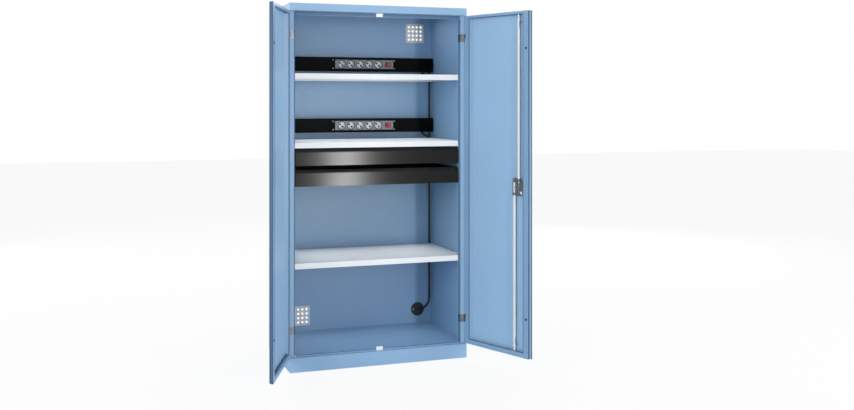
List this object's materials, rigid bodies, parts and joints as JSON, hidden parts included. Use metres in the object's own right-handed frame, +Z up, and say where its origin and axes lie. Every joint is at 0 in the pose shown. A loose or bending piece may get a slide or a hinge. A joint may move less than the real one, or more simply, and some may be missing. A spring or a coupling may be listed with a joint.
{
  "type": "battery charging cabinet",
  "caption": "Tall two-door sheet-steel cabinet with shelves, drawers and switched socket strips for charging tool batteries.",
  "frame": {"origin": "centre of the footprint, at the floor, in the middle of the four floor fixing holes", "axes": "+X right, +Y towards the back wall, +Z up, seen from the front"},
  "size_m": [1.3912, 1.0413, 1.95],
  "materials": {
    "cabinet_blue": "satin powder coat",
    "door_blue": "satin powder coat",
    "shelf_grey": "satin powder coat",
    "strip_black": "satin powder coat",
    "drawer_black": "smooth semi-gloss coat",
    "zinc": "zinc plated",
    "polished": "polished",
    "lock_grey": "matt grey",
    "housing_grey": "satin anodised",
    "socket_black": "matt",
    "rocker_red": "gloss, translucent",
    "vent_grey": "matt",
    "stop_white": "matt",
    "cable_black": "matt",
    "rubber_black": "matt",
    "handle_black": "matt"
  },
  "bodies": {
    "carcass": {"side_left": "cabinet_blue", "side_right": "cabinet_blue", "roof_panel": "cabinet_blue", "floor_panel": "cabinet_blue", "plinth_frame": "cabinet_blue", "back_panel": "cabinet_blue", "vent_upper": "vent_grey", "vent_lower": "vent_grey", "door_stop_upper": "stop_white", "door_stop_lower": "stop_white", "shelf_lower": "shelf_grey", "shelf_middle": "shelf_grey", "shelf_upper": "shelf_grey", "shelf_brackets": "cabinet_blue", "hinge_frame_leaves": "polished", "hinge_pins": "polished", "strip_lower": "strip_black", "strip_upper": "strip_black", "socket_housing_lower": "housing_grey", "socket_housing_upper": "housing_grey", "sockets_lower": "socket_black", "sockets_upper": "socket_black", "switch_bezel_lower": "socket_black", "switch_bezel_upper": "socket_black", "branch_cable_lower": "cable_black", "branch_cable_upper": "cable_black", "strip_screws": "zinc", "main_cable": "cable_black", "cable_entry": "rubber_black", "cable_clips": "rubber_black", "slide_lower_outer": "zinc", "slide_upper_outer": "zinc"},
    "door_left": {"door_left_pan": "door_blue", "door_left_liner": "door_blue", "door_left_buffers": "rubber_black", "door_left_plugs": "rubber_black", "door_left_hinge_leaves": "polished"},
    "door_right": {"door_right_pan": "door_blue", "door_right_liner": "door_blue", "door_right_buffers": "rubber_black", "door_right_plugs": "rubber_black", "door_right_hinge_leaves": "polished", "lock_case": "lock_grey", "rod_guides": "rubber_black", "handle_plate": "handle_black"},
    "handle": {"handle_lever": "handle_black", "lock_pinion": "zinc"},
    "lock_core": {"lock_core": "polished"},
    "upper_rod": {"rod_upper": "zinc"},
    "lower_rod": {"rod_lower": "zinc"},
    "drawer_lower": {"drawer_lower_tray": "drawer_black", "drawer_lower_front": "drawer_black", "slide_lower_inner": "zinc"},
    "drawer_upper": {"drawer_upper_tray": "drawer_black", "drawer_upper_front": "drawer_black", "slide_upper_inner": "zinc"},
    "slide_middle_lower": {"slide_lower_middle": "zinc"},
    "slide_middle_upper": {"slide_upper_middle": "zinc"},
    "rocker_lower": {"rocker_lower": "rocker_red"},
    "rocker_upper": {"rocker_upper": "rocker_red"}
  },
  "joints": [
    {"name": "door_left_swing", "type": "hinge", "parent": "carcass", "child": "door_left", "pos_m": [-0.499, -0.273, 0.993], "axis": [0, 0, -1], "range_deg": [-111, 9]},
    {"name": "door_right_swing", "type": "hinge", "parent": "carcass", "child": "door_right", "pos_m": [0.499, -0.273, 0.993], "axis": [0, 0, 1], "range_deg": [-111, 9]},
    {"name": "handle_turn", "type": "hinge", "parent": "door_right", "child": "handle", "pos_m": [0.65822, -0.64034, 0.975], "axis": [-0.9336, -0.3584, 0], "range_deg": [0, 90]},
    {"name": "lock_core_turn", "type": "hinge", "parent": "handle", "child": "lock_core", "pos_m": [0.65822, -0.64034, 0.975], "axis": [-0.9336, -0.3584, 0], "range_deg": [0, 90]},
    {"name": "upper_rod_slide", "type": "slide", "parent": "door_right", "child": "upper_rod", "axis": [0, 0, 1], "range_m": [0, 0.0188]},
    {"name": "lower_rod_slide", "type": "slide", "parent": "door_right", "child": "lower_rod", "axis": [0, 0, -1], "range_m": [0, 0.019]},
    {"name": "drawer_lower_pull", "type": "slide", "parent": "carcass", "child": "drawer_lower", "axis": [0, -1, 0], "range_m": [0, 0.4]},
    {"name": "slide_middle_lower_travel", "type": "slide", "parent": "carcass", "child": "slide_middle_lower", "axis": [0, -1, 0], "range_m": [0, 0.2]},
    {"name": "drawer_upper_pull", "type": "slide", "parent": "carcass", "child": "drawer_upper", "axis": [0, -1, 0], "range_m": [0, 0.4]},
    {"name": "slide_middle_upper_travel", "type": "slide", "parent": "carcass", "child": "slide_middle_upper", "axis": [0, -1, 0], "range_m": [0, 0.2]},
    {"name": "rocker_lower_tilt", "type": "hinge", "parent": "carcass", "child": "rocker_lower", "pos_m": [0.203, 0.233, 1.289], "axis": [0, 0, 1], "range_deg": [0, 16]},
    {"name": "rocker_upper_tilt", "type": "hinge", "parent": "carcass", "child": "rocker_upper", "pos_m": [0.203, 0.233, 1.65], "axis": [0, 0, 1], "range_deg": [0, 16]}
  ],
  "couplings": [
    {"joint": "handle_turn", "follows": "upper_rod_slide", "rad_per_m": 83.333},
    {"joint": "lower_rod_slide", "follows": "upper_rod_slide", "ratio": 1},
    {"joint": "slide_middle_lower_travel", "follows": "drawer_lower_pull", "ratio": 0.5},
    {"joint": "slide_middle_upper_travel", "follows": "drawer_upper_pull", "ratio": 0.5}
  ]
}
